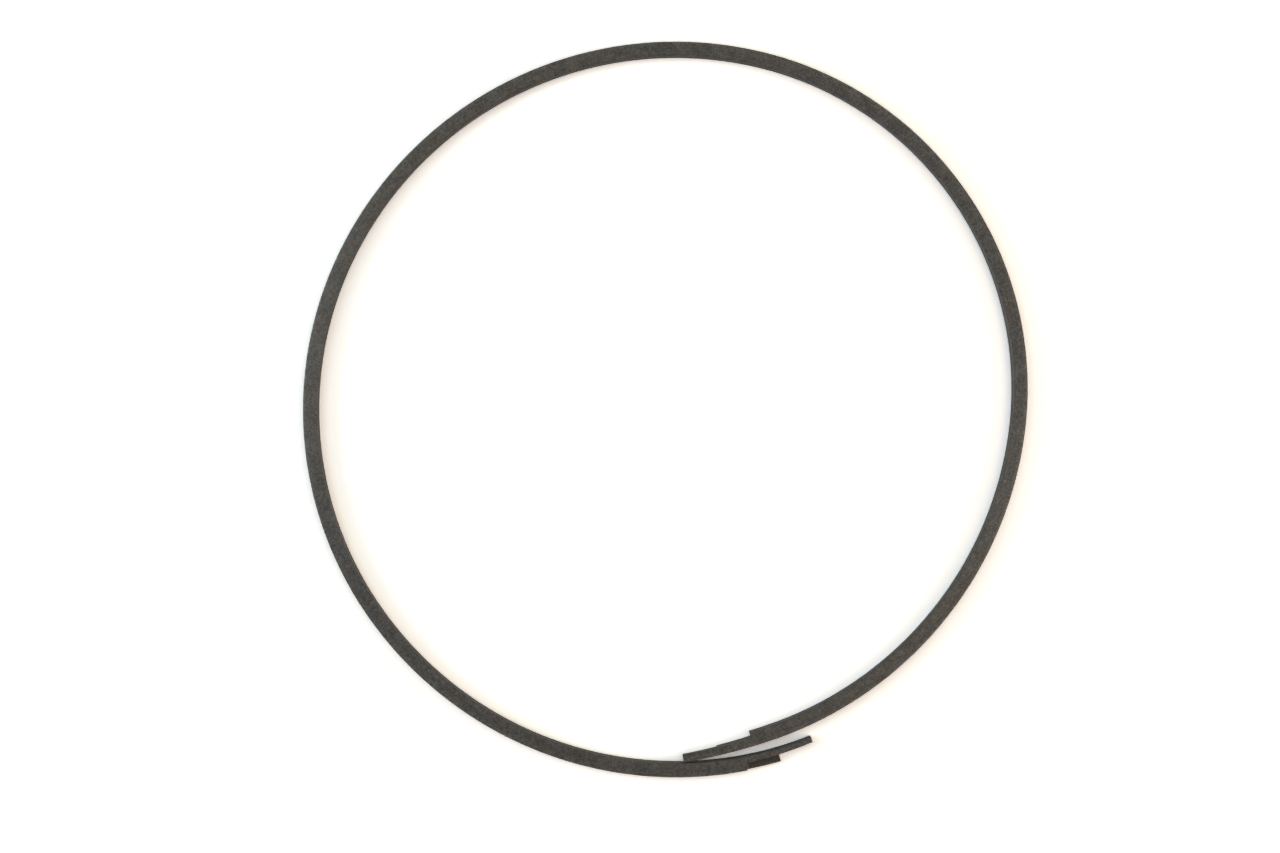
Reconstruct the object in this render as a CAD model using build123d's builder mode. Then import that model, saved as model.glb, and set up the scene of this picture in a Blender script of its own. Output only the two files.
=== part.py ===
# A split sealing ring of filled PTFE, lying relaxed as it does off the shelf.
# Its ends carry a stepped lap joint and have sprung past each other,
# so the first end lies inside the last one.
# The lower side face is on Z = 0, and the origin is at the middle of the outline.

from build123d import *

import os
from math import cos, degrees, pi, radians, sin

# The ring as fitted: closed, its outer edge seals on a round bore.
bore_diameter = 110.0
wall = 2.1                    # radial thickness
height = 2.3                  # axial thickness, from side face to side face
edge_break = 0.12             # on the four long edges
joint_gap = 0.45              # left open at each end of the lap, for the ring to grow when hot

# The joint: an outer tongue lies on an inner one. The outer tongue's tip is only
# above the step, and lies on a ledge that the inner tongue carries below it.
lap_length = 10.55
tip_length = 5.25
ledge_length = 5.1
step_height = 1.05
tongue_tip = 1.14             # the outer tongue's thickness at its tip
tongue_root = 1.34            # and at its root

# The relaxed outer edge runs as tangent bends from the first end to the last,
# each a radius and a turn in degrees. The first end has sprung nearly straight.
bends = [(84.0, 9.5), (55.45, 62.93), (50.99, 83.9), (55.08, 79.9), (53.21, 58.0)]
last_radius = 55.45
start = (2.71, -52.08)        # outer corner of the first end
start_heading = 9.6           # degrees from +X

past_end = 0.03               # how far a lap's cutter runs past the ring's end
past_side = 1.0               # and past its side faces
long_edge = 5.0               # an edge at least this long runs round the ring

# Closed, the ring fills the bore once round and one lap more, but for the gap.
ring_length = pi * bore_diameter + lap_length - joint_gap
last_lap = ring_length - lap_length
length_before_last = sum(radius * radians(turn) for radius, turn in bends)
last_turn = degrees((ring_length - length_before_last) / last_radius)


def ring_edge(inset):
    """The ring's outer edge, or a line inset from it, as tangent bends."""
    heading = radians(start_heading)
    along = Vector(cos(heading), sin(heading))
    here = Vector(*start) + Vector(-along.Y, along.X) * inset
    runs = []
    for radius, turn in bends + [(last_radius, last_turn)]:
        runs.append(JernArc(here, along, radius - inset, turn))
        here = runs[-1] @ 1
        along = runs[-1] % 1
    return runs


with BuildLine() as outer_edge:
    ring_edge(0)


def on_ring(station, depth):
    """The point at a distance along the outer edge and at a depth inside it."""
    edge = outer_edge.wire()
    reached = min(max(station, 0), ring_length)
    along = edge.tangent_at(reached, position_mode=PositionMode.LENGTH)
    place = edge.position_at(reached, position_mode=PositionMode.LENGTH)
    inward = Vector(-along.Y, along.X)
    return place + along * (station - reached) + inward * depth


def parting_depth(reach):
    """How deep the two tongues part, at a distance along the lap."""
    return tongue_tip + (tongue_root - tongue_tip) * reach / lap_length


def lap_outline(lap_start, first, last, far_depth):
    """The outline from the parting line out to a far depth, over part of a lap."""
    reaches = (first, (first + last) / 2, last)
    parting = ThreePointArc(*[on_ring(lap_start + r, parting_depth(r)) for r in reaches])
    far = ThreePointArc(*[on_ring(lap_start + r, far_depth) for r in reaches])
    Line(parting @ 0, far @ 0)
    Line(parting @ 1, far @ 1)


with BuildPart() as seal_ring:
    # the whole band
    with BuildSketch():
        with BuildLine():
            outer = ring_edge(0)
            inner = ring_edge(wall)
            Line(outer[0] @ 0, inner[0] @ 0)
            Line(outer[-1] @ 1, inner[-1] @ 1)
        make_face()
    extrude(amount=height)
    side_faces = seal_ring.faces().filter_by(Axis.Z)
    chamfer(side_faces.edges().filter_by(lambda edge: edge.length > long_edge), edge_break)

    # first end: only the outer tongue is left, and its tip only above the step
    with BuildSketch(Plane.XY.offset(-past_side)):
        with BuildLine():
            lap_outline(0, -past_end, lap_length, wall + past_side)
        make_face()
    extrude(amount=height + 2 * past_side, mode=Mode.SUBTRACT)
    with BuildSketch(Plane.XY.offset(-past_side)):
        with BuildLine():
            lap_outline(0, -past_end, tip_length, -past_end)
        make_face()
    extrude(amount=past_side + step_height, mode=Mode.SUBTRACT)

    # last end: the inner tongue, with the ledge below the step
    with BuildSketch(Plane.XY.offset(step_height)):
        with BuildLine():
            lap_outline(last_lap, 0, lap_length + past_end, -past_side)
        make_face()
    extrude(amount=height - step_height + past_side, mode=Mode.SUBTRACT)
    with BuildSketch(Plane.XY.offset(-past_side)):
        with BuildLine():
            lap_outline(last_lap, ledge_length, lap_length + past_end, -past_side)
        make_face()
    extrude(amount=past_side + step_height, mode=Mode.SUBTRACT)

seal_ring.part.label = "seal_ring"

os.makedirs("parts", exist_ok=True)
export_step(seal_ring.part, "parts/seal_ring.step")

free_size = seal_ring.part.bounding_box().size
print(f"seal_ring {free_size.X:.2f} x {free_size.Y:.2f} x {free_size.Z:.2f} mm")
print(f"volume {seal_ring.part.volume:.1f} mm3, last bend {last_turn:.2f} degrees")
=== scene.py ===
import itertools
import math
import bmesh
import bpy
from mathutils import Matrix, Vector


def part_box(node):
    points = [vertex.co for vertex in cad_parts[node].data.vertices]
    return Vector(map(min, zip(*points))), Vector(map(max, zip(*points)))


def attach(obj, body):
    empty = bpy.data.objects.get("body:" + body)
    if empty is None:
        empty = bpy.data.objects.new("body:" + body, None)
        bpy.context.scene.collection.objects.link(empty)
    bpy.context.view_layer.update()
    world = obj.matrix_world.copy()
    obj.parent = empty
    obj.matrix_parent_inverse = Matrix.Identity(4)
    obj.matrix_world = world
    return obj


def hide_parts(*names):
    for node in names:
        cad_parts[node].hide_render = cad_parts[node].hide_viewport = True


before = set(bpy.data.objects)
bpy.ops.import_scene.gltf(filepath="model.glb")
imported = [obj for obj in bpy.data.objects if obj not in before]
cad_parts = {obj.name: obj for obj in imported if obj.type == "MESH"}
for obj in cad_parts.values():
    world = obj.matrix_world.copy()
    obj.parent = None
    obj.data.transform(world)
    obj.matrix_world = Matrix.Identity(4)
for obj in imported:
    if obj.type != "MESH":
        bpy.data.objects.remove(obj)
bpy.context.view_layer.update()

# A split sealing ring of filled PTFE, relaxed on a white table and seen from straight above.
# The ring is built as a straight bar, bevelled, then bent along its relaxed edge by Geometry Nodes.

mm = 0.001
ringLow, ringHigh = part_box("seal_ring")


# Helpers

def spread(first, last, cells):
    return [first + (last - first) * i / cells for i in range(cells + 1)]


def feed(tree, socket, value):
    if isinstance(value, bpy.types.NodeSocket):
        tree.links.new(value, socket)
    elif value is not None:
        socket.default_value = value


def put(tree, kind, inputs=None, **settings):
    node = tree.nodes.new(kind)
    for name, value in settings.items():
        setattr(node, name, value)
    for name, value in (inputs or {}).items():
        feed(tree, node.inputs[name], value)
    return node


def calc(tree, operation, a, b=None, c=None):
    node = put(tree, "ShaderNodeMath", operation=operation)
    for socket, value in zip(node.inputs, (a, b, c)):
        feed(tree, socket, value)
    return node.outputs[0]


def vectorFrom(tree, x=0.0, y=0.0, z=0.0):
    return put(tree, "ShaderNodeCombineXYZ", {"X": x, "Y": y, "Z": z}).outputs[0]


def newTree(name, inputs, outputs):
    tree = bpy.data.node_groups.new(name, "GeometryNodeTree")
    for label, kind in inputs:
        tree.interface.new_socket(label, in_out="INPUT", socket_type=kind)
    for label, kind in outputs:
        tree.interface.new_socket(label, in_out="OUTPUT", socket_type=kind)
    return tree, tree.nodes.new("NodeGroupInput").outputs, tree.nodes.new("NodeGroupOutput").inputs


def useTree(thing, tree, values):
    modifier = thing.modifiers.new(tree.name, "NODES")
    modifier.node_group = tree
    for item in tree.interface.items_tree:
        if item.in_out == "INPUT" and item.name in values:
            modifier[item.identifier] = values[item.name]


meshSocket, materialSocket = "NodeSocketGeometry", "NodeSocketMaterial"
floatSocket, vectorSocket = "NodeSocketFloat", "NodeSocketVector"


ringSizes = {                    # millimetres and degrees, as the solid in the frame
    "boreDiameter": 110.0,       # what the closed ring seals in
    "wall": 2.1,                 # radial thickness
    "jointGap": 0.45,            # left open when closed
    "lapLength": 10.55,
    "tipLength": 5.25,           # of the outer tongue, only above the step
    "ledgeLength": 5.1,          # of the inner tongue's ledge below it
    "stepHeight": 1.05,
    "tongueTip": 1.14,           # outer tongue's thickness at its tip
    "tongueRoot": 1.34,          # and at its root
    "startX": 2.71,              # outer corner of the first end
    "startY": -52.08,
    "startHeading": 9.6,
    "bends": [                   # radius, then turn, from the first end on
        ("Tip", 84.0, 9.5),
        ("Right", 55.45, 62.93),
        ("Upper Right", 50.99, 83.9),
        ("Upper Left", 55.08, 79.9),
        ("Left", 53.21, 58.0),
        ("Last", 55.45, None),   # as far as the ring is long
    ],
    "edgeBreak": 0.12,           # bevel on the four long corners
    "cutBreak": 0.03,            # bevel on the sawn edges of the lap
    "bevelSegments": 3,
    "sharpTurn": 30,             # an edge that turns more than this is bevelled
    "nearly": 0.001,             # a vertex this near a side is on it
    "stepCells": 10,             # along each half of a lap
    "bodyCells": 632,            # along the ring between the laps
}


# The straight bar: X is the station along the outer edge, Y the depth inside it.
# It is two blocks wide and two high, and the laps are where a block starts late or ends early.

def makeBarMesh(length, height):
    s = ringSizes
    lap, lastLap = s["lapLength"], length - s["lapLength"]
    tip, ledge = s["tipLength"], lastLap + s["ledgeLength"]
    marks = [0, tip, lap, lastLap, ledge, length]
    cells = [s["stepCells"], s["stepCells"], s["bodyCells"], s["stepCells"], s["stepCells"]]
    stations = [0]
    for first, last, count in zip(marks, marks[1:], cells):
        stations += spread(first, last, count)[1:]
    levels = [0, s["stepHeight"], height]
    reach = {"outer low": (tip, ledge), "outer high": (0, lastLap),
             "inner low": (lap, length), "inner high": (lap, length)}

    def filled(cell, side, level):
        if not (0 <= cell < len(stations) - 1 and side in (0, 1) and level in (0, 1)):
            return False
        first, last = reach[("outer", "inner")[side] + (" low", " high")[level]]
        return first < (stations[cell] + stations[cell + 1]) / 2 < last

    def corner(cell, side, level):
        station = stations[cell]
        alongLap = min(station, lap) if station < lastLap else station - lastLap
        parting = s["tongueTip"] + (s["tongueRoot"] - s["tongueTip"]) * alongLap / lap
        return (station * mm, (0, parting, s["wall"])[side] * mm, levels[level] * mm)

    work = bmesh.new()
    sawn = work.faces.layers.float.new("sawn")
    made = {}

    def vertex(*key):
        if key not in made:
            made[key] = work.verts.new(corner(*key))
        return made[key]

    # a face wherever a block has no other beside it, its corners anticlockwise from outside
    for i, side, level in itertools.product(range(len(stations) - 1), (0, 1), (0, 1)):
        if not filled(i, side, level):
            continue
        for axis, end in itertools.product(range(3), (0, 1)):
            outward = 2 * end - 1
            beside = [i, side, level]
            beside[axis] += outward
            if filled(*beside):
                continue
            quad = []
            for u, v in ((0, 0), (1, 0), (1, 1), (0, 1))[::outward]:
                key = [i, side, level]
                key[axis] += end
                key[(axis + 1) % 3] += u
                key[(axis + 2) % 3] += v
                quad.append(vertex(*key))
            face = work.faces.new(quad)
            onSkin = axis > 0 and (i, side, level)[axis] == end     # on the bar's own four sides
            face[sawn] = 0.0 if onSkin else 1.0

    # long corner edges get the full bevel, sawn edges a small one, inside corners none
    def onSide(value, size):
        return min(abs(value), abs(value - size)) < s["nearly"] * mm

    work.normal_update()
    weight = work.edges.layers.float.new("bevel_weight_edge")
    for edge in work.edges:
        if edge.calc_face_angle_signed() < math.radians(s["sharpTurn"]):
            continue
        ends = [v.co for v in edge.verts]
        onCorner = all(onSide(end.y, s["wall"] * mm) and onSide(end.z, height * mm) for end in ends)
        lengthwise = abs(ends[0].x - ends[1].x) > s["nearly"] * mm
        edge[weight] = 1.0 if onCorner and lengthwise else s["cutBreak"] / s["edgeBreak"]
    mesh = bpy.data.meshes.new("ringWork")
    work.to_mesh(mesh)
    work.free()
    return mesh


# Bending the bar: every run takes its length off what a vertex still has to go along the edge

leastTurn = 0.000001             # radians, so that no division is by nought


def makeRunTree():
    tree, given, result = newTree(
        "Run", [("To Go", floatSocket), ("Place", vectorSocket), ("Heading", floatSocket),
                ("Run Length", floatSocket), ("Turn", floatSocket)],
        [("To Go", floatSocket), ("Place", vectorSocket), ("Heading", floatSocket)])
    reached = calc(tree, "MINIMUM", calc(tree, "MAXIMUM", given["To Go"], 0.0), given["Run Length"])
    share = calc(tree, "DIVIDE", reached, given["Run Length"])
    turned = calc(tree, "MULTIPLY", share, given["Turn"])
    half = calc(tree, "MULTIPLY_ADD", turned, 0.5, leastTurn)
    chord = calc(tree, "MULTIPLY", reached, calc(tree, "DIVIDE", calc(tree, "SINE", half), half))
    facing = calc(tree, "ADD", given["Heading"], half)
    step = vectorFrom(tree, calc(tree, "MULTIPLY", chord, calc(tree, "COSINE", facing)),
                      calc(tree, "MULTIPLY", chord, calc(tree, "SINE", facing)))
    place = put(tree, "ShaderNodeVectorMath", operation="ADD")
    feed(tree, place.inputs[0], given["Place"])
    feed(tree, place.inputs[1], step)
    feed(tree, result["To Go"], calc(tree, "SUBTRACT", given["To Go"], given["Run Length"]))
    feed(tree, result["Place"], place.outputs[0])
    feed(tree, result["Heading"], calc(tree, "ADD", given["Heading"], turned))
    return tree


def makeBendTree(runNames):
    sizes = ["Start X", "Start Y", "Start Heading", "Base Height"]
    for name in runNames:
        sizes += [name + " Length", name + " Turn"]
    inputs = [("Mesh", meshSocket)] + [(name, floatSocket) for name in sizes]
    inputs.append(("Material", materialSocket))
    tree, given, result = newTree("Bend Ring", inputs, [("Mesh", meshSocket)])
    barPlace = put(tree, "GeometryNodeInputPosition").outputs[0]
    unrolled = put(tree, "GeometryNodeStoreNamedAttribute",
                   {"Geometry": given["Mesh"], "Name": "barPlace", "Value": barPlace},
                   data_type="FLOAT_VECTOR", domain="POINT")
    bar = put(tree, "ShaderNodeSeparateXYZ", {"Vector": barPlace})
    toGo, heading = bar.outputs["X"], given["Start Heading"]
    place = vectorFrom(tree, given["Start X"], given["Start Y"])
    runTree = makeRunTree()
    for name in runNames:
        run = put(tree, "GeometryNodeGroup", node_tree=runTree)
        for socket, value in {"To Go": toGo, "Place": place, "Heading": heading,
                              "Run Length": given[name + " Length"], "Turn": given[name + " Turn"]}.items():
            feed(tree, run.inputs[socket], value)
        toGo, place, heading = run.outputs["To Go"], run.outputs["Place"], run.outputs["Heading"]
    inwardX = calc(tree, "MULTIPLY", calc(tree, "SINE", heading), -1.0)
    depth = bar.outputs["Y"]
    offset = vectorFrom(tree, calc(tree, "MULTIPLY", inwardX, depth),
                        calc(tree, "MULTIPLY", calc(tree, "COSINE", heading), depth),
                        calc(tree, "ADD", bar.outputs["Z"], given["Base Height"]))
    bent = put(tree, "ShaderNodeVectorMath", operation="ADD")
    feed(tree, bent.inputs[0], place)
    feed(tree, bent.inputs[1], offset)
    moved = put(tree, "GeometryNodeSetPosition",
                {"Geometry": unrolled.outputs[0], "Position": bent.outputs[0]})
    smooth = put(tree, "GeometryNodeSetShadeSmooth", {"Geometry": moved.outputs[0]})
    real = put(tree, "GeometryNodeRealizeInstances", {"Geometry": smooth.outputs[0]})
    dressed = put(tree, "GeometryNodeSetMaterial",
                  {"Geometry": real.outputs[0], "Material": given["Material"]})
    feed(tree, result["Mesh"], dressed.outputs[0])
    return tree


def makeRing(finish):
    s = ringSizes
    height = ringHigh[2] - ringLow[2]
    length = math.pi * s["boreDiameter"] + s["lapLength"] - s["jointGap"]
    runs, leftOver = [], length
    for name, radius, turn in s["bends"]:
        runLength = leftOver if turn is None else radius * math.radians(turn)
        runs.append((name, runLength, runLength / radius))
        leftOver -= runLength

    piece = bpy.data.objects.new("ringWork", makeBarMesh(length, height / mm))
    bpy.context.collection.objects.link(piece)
    bevel = piece.modifiers.new("Edges", "BEVEL")
    bevel.limit_method = "WEIGHT"
    bevel.width = s["edgeBreak"] * mm
    bevel.segments = s["bevelSegments"]
    sizes = {"Start X": s["startX"] * mm, "Start Y": s["startY"] * mm,
             "Start Heading": math.radians(s["startHeading"]), "Base Height": ringLow[2], "Material": finish}
    for name, runLength, turned in runs:
        sizes[name + " Length"] = runLength * mm
        sizes[name + " Turn"] = turned
    useTree(piece, makeBendTree([name for name, runLength, turned in runs]), sizes)
    evenNormals = piece.modifiers.new("Normals", "WEIGHTED_NORMAL")
    evenNormals.keep_sharp = True

    graph = bpy.context.evaluated_depsgraph_get()
    mesh = bpy.data.meshes.new_from_object(piece.evaluated_get(graph), depsgraph=graph)
    bpy.data.objects.remove(piece)
    ring = bpy.data.objects.new("sealRing", mesh)
    bpy.context.collection.objects.link(ring)
    mesh.name = "sealRing"
    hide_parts("seal_ring")
    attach(ring, "root")
    print("ring", len(mesh.vertices), "vertices", len(mesh.polygons), "faces")


# Filled PTFE: charcoal brown, matte, with fine turning marks along the ring

ptfeLook = {                     # scales are per metre
    "grayColor": (0.0687, 0.0705, 0.0689),
    "brownColor": (0.0767, 0.0676, 0.0579),
    "tintScale": 900.0,          # the two drift into each other
    "tintDetail": 2.0,
    "tintRange": (0.35, 0.65),
    "cutShadeColor": (0.052, 0.045, 0.037),     # the cuts of the lap are painted darker and browner, painted shade for the ledge and recesses of the lap
    "roughness": 0.47,
    "ior": 1.45,
    "alongGrain": 0.75,          # how much the turning marks stretch the shine
    "grainTurn": 0.28,           # turns from the marks to the way it is stretched
    "lineScale": (12.0, 5200.0, 5200.0),    # the marks are long along the bar, fine across it
    "lineDetail": 2.0,
    "lineShade": 0.42,
    "lineDepth": 0.0072 * mm,
    "patchScale": 420.0,
    "patchDetail": 3.0,
    "patchShade": 0.4,
    "grainScale": 3700.0,
    "grainDetail": 1.0,
    "grainShade": 1.0,
    "grainDepth": 0.0048 * mm,
    "speckScale": 900.0,
    "speckShare": 0.04,          # of the cells that have one
    "speckSize": 0.075,          # of a cell
    "speckColor": (0.33, 0.31, 0.28),
    "crownWidth": 0.75 * mm,     # the side faces fall away near the outer edge, by bump
    "crownDrop": 0.06 * mm,
    "crownHighlight": 0.55,          # and are painted paler there, a painted highlight along the outer rim
    "crownCurve": 2.0,
}


def makeFilledPtfe():
    look = ptfeLook
    material = bpy.data.materials.new("filledPtfe")
    material.use_nodes = True
    tree = material.node_tree
    shader = tree.nodes["Principled BSDF"]
    shader.inputs["IOR"].default_value = look["ior"]
    shader.inputs["Roughness"].default_value = look["roughness"]
    shader.inputs["Anisotropic"].default_value = look["alongGrain"]
    shader.inputs["Anisotropic Rotation"].default_value = look["grainTurn"]
    aroundRing = put(tree, "ShaderNodeTangent", direction_type="RADIAL", axis="Z")
    feed(tree, shader.inputs["Tangent"], aroundRing.outputs[0])

    place = put(tree, "ShaderNodeTexCoord").outputs["Object"]
    barPlace = put(tree, "ShaderNodeAttribute", attribute_name="barPlace").outputs["Vector"]
    stretched = put(tree, "ShaderNodeMapping", {"Vector": barPlace})
    stretched.inputs["Scale"].default_value = look["lineScale"]

    def noise(vector, scale, detail):
        inputs = {"Vector": vector, "Scale": scale, "Detail": detail}
        return put(tree, "ShaderNodeTexNoise", inputs).outputs["Fac"]

    def swing(value, amount):    # a factor about one
        return calc(tree, "MULTIPLY_ADD", calc(tree, "SUBTRACT", value, 0.5), 2 * amount, 1.0)

    lines = noise(stretched.outputs[0], 1.0, look["lineDetail"])
    patches = noise(place, look["patchScale"], look["patchDetail"])
    grain = noise(place, look["grainScale"], look["grainDetail"])
    shade = calc(tree, "MULTIPLY", swing(lines, look["lineShade"]), swing(patches, look["patchShade"]))
    shade = calc(tree, "MULTIPLY", shade, swing(grain, look["grainShade"]))

    depth = put(tree, "ShaderNodeSeparateXYZ", {"Vector": barPlace}).outputs["Y"]
    nearEdge = put(tree, "ShaderNodeMapRange",
                   {"Value": depth, "From Min": look["crownWidth"], "From Max": 0.0}).outputs[0]
    nearEdge = calc(tree, "POWER", nearEdge, look["crownCurve"])
    # painted highlight: the side faces are paler towards the outer edge
    shade = calc(tree, "MULTIPLY", shade, calc(tree, "MULTIPLY_ADD", nearEdge, look["crownHighlight"], 1.0))

    # sparse pale specks of filler
    cells = put(tree, "ShaderNodeTexVoronoi", {"Vector": place, "Scale": look["speckScale"]})
    pick = put(tree, "ShaderNodeSeparateColor", {"Color": cells.outputs["Color"]}).outputs[0]
    rare = calc(tree, "LESS_THAN", pick, look["speckShare"])
    inSpeck = calc(tree, "LESS_THAN", cells.outputs["Distance"], look["speckSize"])
    speck = calc(tree, "MULTIPLY", rare, inSpeck)

    def blend(factor, first, second):
        mix = put(tree, "ShaderNodeMix", {"Factor": factor}, data_type="RGBA")
        feed(tree, mix.inputs[6], first)
        feed(tree, mix.inputs[7], second)
        return mix.outputs[2]

    drift = noise(place, look["tintScale"], look["tintDetail"])
    least, most = look["tintRange"]
    tint = put(tree, "ShaderNodeMapRange", {"Value": drift, "From Min": least, "From Max": most}).outputs[0]
    sawn = put(tree, "ShaderNodeAttribute", attribute_name="sawn").outputs["Fac"]
    color = blend(tint, (*look["grayColor"], 1), (*look["brownColor"], 1))
    # painted shade: the lap's cut faces are darker and browner, as where the tongue shades the ledge
    color = blend(sawn, color, (*look["cutShadeColor"], 1))
    shaded = put(tree, "ShaderNodeVectorMath", operation="SCALE")
    feed(tree, shaded.inputs[0], color)
    feed(tree, shaded.inputs["Scale"], shade)
    color = blend(speck, shaded.outputs[0], (*look["speckColor"], 1))
    feed(tree, shader.inputs["Base Color"], color)

    height = calc(tree, "MULTIPLY", grain, look["grainDepth"])
    height = calc(tree, "MULTIPLY_ADD", lines, look["lineDepth"], height)
    height = calc(tree, "SUBTRACT", height, calc(tree, "MULTIPLY", nearEdge, look["crownDrop"]))
    bump = put(tree, "ShaderNodeBump", {"Height": height, "Distance": 1.0, "Strength": 1.0})
    feed(tree, shader.inputs["Normal"], bump.outputs["Normal"])
    print("filled PTFE made")
    return material


# Table, camera and light

viewSizes = {
    "imageWidth": 1280,
    "imageHeight": 853,
    "pixelSize": 0.147406,       # millimetres of the ring's upper face under one pixel
    "ringPixelX": 665.35,        # where the origin falls in the image
    "ringPixelY": 409.5,
    "belowPixelX": 665.5,        # and the point that the camera is straight above
    "belowPixelY": 409.5,
    "distance": 315.0,           # millimetres above the ring's upper face
    "sensorWidth": 36.0,
    "nearestSeen": 10.0,         # millimetres from the camera
}


def makeCamera():
    v = viewSizes
    data = bpy.data.cameras.new("camera")
    camera = bpy.data.objects.new("camera", data)
    bpy.context.collection.objects.link(camera)
    bpy.context.scene.camera = camera
    data.sensor_width = v["sensorWidth"]
    data.lens = v["distance"] / (v["pixelSize"] * v["imageWidth"]) * v["sensorWidth"]
    data.shift_x = (v["imageWidth"] / 2 - v["belowPixelX"]) / v["imageWidth"]
    data.shift_y = (v["belowPixelY"] - v["imageHeight"] / 2) / v["imageWidth"]
    data.clip_start = v["nearestSeen"] * mm
    camera.location = ((v["belowPixelX"] - v["ringPixelX"]) * v["pixelSize"] * mm,
                       (v["ringPixelY"] - v["belowPixelY"]) * v["pixelSize"] * mm,
                       ringHigh[2] + v["distance"] * mm)
    print("camera", v["distance"], "mm above the ring")


lightSizes = {                   # metres, and degrees seen from the ring
    "worldStrength": 0.05,
    "distance": 0.65,            # from the ring's middle
    "side": 0.35,                # of each square lamp
    "lamps": [                   # name, azimuth from +X, elevation, watts, color
        ("leftLamp", 180, 25, 1.98, (1.0, 0.995, 0.99)),
        ("rightLamp", 0, 25, 1.63, (1.0, 0.98, 0.855)),
        ("upperRightLamp", 60, 62, 0.54, (1.0, 1.0, 0.95)),
        ("upperLeftLamp", 150, 62, 0.65, (0.92, 1.0, 0.88)),
        ("lowerLeftLamp", 210, 62, 0.3, (0.35, 0.62, 1.0)),
        ("lowerRightLamp", -30, 62, 0.81, (1.0, 0.68, 0.47)),
    ],
}


def makeLamps():
    s = lightSizes
    for name, azimuth, elevation, power, color in s["lamps"]:
        data = bpy.data.lights.new(name, "AREA")
        data.shape = "SQUARE"
        data.size = s["side"]
        data.energy = power
        data.color = color
        lamp = bpy.data.objects.new(name, data)
        bpy.context.collection.objects.link(lamp)
        turn, rise = math.radians(azimuth), math.radians(elevation)
        away = Vector((math.cos(rise) * math.cos(turn), math.cos(rise) * math.sin(turn), math.sin(rise)))
        lamp.location = away * s["distance"]
        lamp.rotation_euler = (-away).to_track_quat("-Z", "Y").to_euler()
        lamp.visible_camera = False
    world = bpy.data.worlds.new("studio")
    world.use_nodes = True
    background = world.node_tree.nodes["Background"]
    background.inputs["Color"].default_value = (1, 1, 1, 1)
    background.inputs["Strength"].default_value = s["worldStrength"]
    bpy.context.scene.world = world
    print(len(s["lamps"]), "lamps lit")


tableSizes = {                   # metres
    "color": 0.72,
    "seenColor": 1.65,           # as the camera alone sees it, burnt out to white but for the shadows
    "roughness": 0.7,
    "nearGlow": 0.05,            # low by the ring, so that its shadow stays
    "farGlow": 1.0,              # the rest of the table and its upturned rim are plain white
    "glowStart": 0.16,           # distances from the table's middle
    "glowFull": 0.45,
    "flatRadius": 1.0,
    "rimRadius": 0.5,            # the rim turns up along a quarter circle
    "rimSteps": 12,
    "turnSteps": 96,
    "weldWithin": 0.01 * mm,
    "gap": 0.01 * mm,            # below the ring
}


def makeTable():
    s = tableSizes
    material = bpy.data.materials.new("whiteTable")
    material.use_nodes = True
    tree = material.node_tree
    shader = tree.nodes["Principled BSDF"]
    shader.inputs["Roughness"].default_value = s["roughness"]
    rays = put(tree, "ShaderNodeLightPath").outputs
    white = calc(tree, "MULTIPLY_ADD", rays["Is Camera Ray"], s["seenColor"] - s["color"], s["color"])
    feed(tree, shader.inputs["Base Color"], white)
    place = put(tree, "ShaderNodeTexCoord").outputs["Object"]
    away = put(tree, "ShaderNodeVectorMath", operation="LENGTH")
    feed(tree, away.inputs[0], place)
    glow = put(tree, "ShaderNodeMapRange", {"Value": away.outputs["Value"],
                                            "From Min": s["glowStart"], "From Max": s["glowFull"],
                                            "To Min": s["nearGlow"], "To Max": s["farGlow"]})
    seen = calc(tree, "MAXIMUM", rays["Is Camera Ray"], rays["Is Glossy Ray"])
    seen = calc(tree, "MAXIMUM", seen, rays["Is Transmission Ray"])
    shader.inputs["Emission Color"].default_value = (1, 1, 1, 1)
    feed(tree, shader.inputs["Emission Strength"], calc(tree, "MULTIPLY", seen, glow.outputs[0]))

    work = bmesh.new()
    turns = spread(0, math.pi / 2, s["rimSteps"])
    rim = [(s["flatRadius"] + s["rimRadius"] * math.sin(turn), s["rimRadius"] * (1 - math.cos(turn)))
           for turn in turns]
    profile = [work.verts.new((x, 0, z)) for x, z in [(0, 0)] + rim]
    edges = [work.edges.new(ends) for ends in zip(profile, profile[1:])]
    bmesh.ops.spin(work, geom=profile + edges, axis=(0, 0, 1), cent=(0, 0, 0),
                   angle=2 * math.pi, steps=s["turnSteps"])
    bmesh.ops.remove_doubles(work, verts=work.verts, dist=s["weldWithin"])
    work.normal_update()
    # the face nearest the middle has to look up
    if min(work.faces, key=lambda face: face.calc_center_median().length).normal.z < 0:
        bmesh.ops.reverse_faces(work, faces=work.faces)
    mesh = bpy.data.meshes.new("table")
    work.to_mesh(mesh)
    work.free()
    mesh.polygons.foreach_set("use_smooth", [True] * len(mesh.polygons))
    mesh.materials.append(material)
    table = bpy.data.objects.new("table", mesh)
    bpy.context.collection.objects.link(table)
    table.location.z = ringLow[2] - s["gap"]
    print("table laid")


makeCamera()
makeLamps()
makeTable()
bpy.context.scene.view_settings.view_transform = "Standard"
makeRing(makeFilledPtfe())
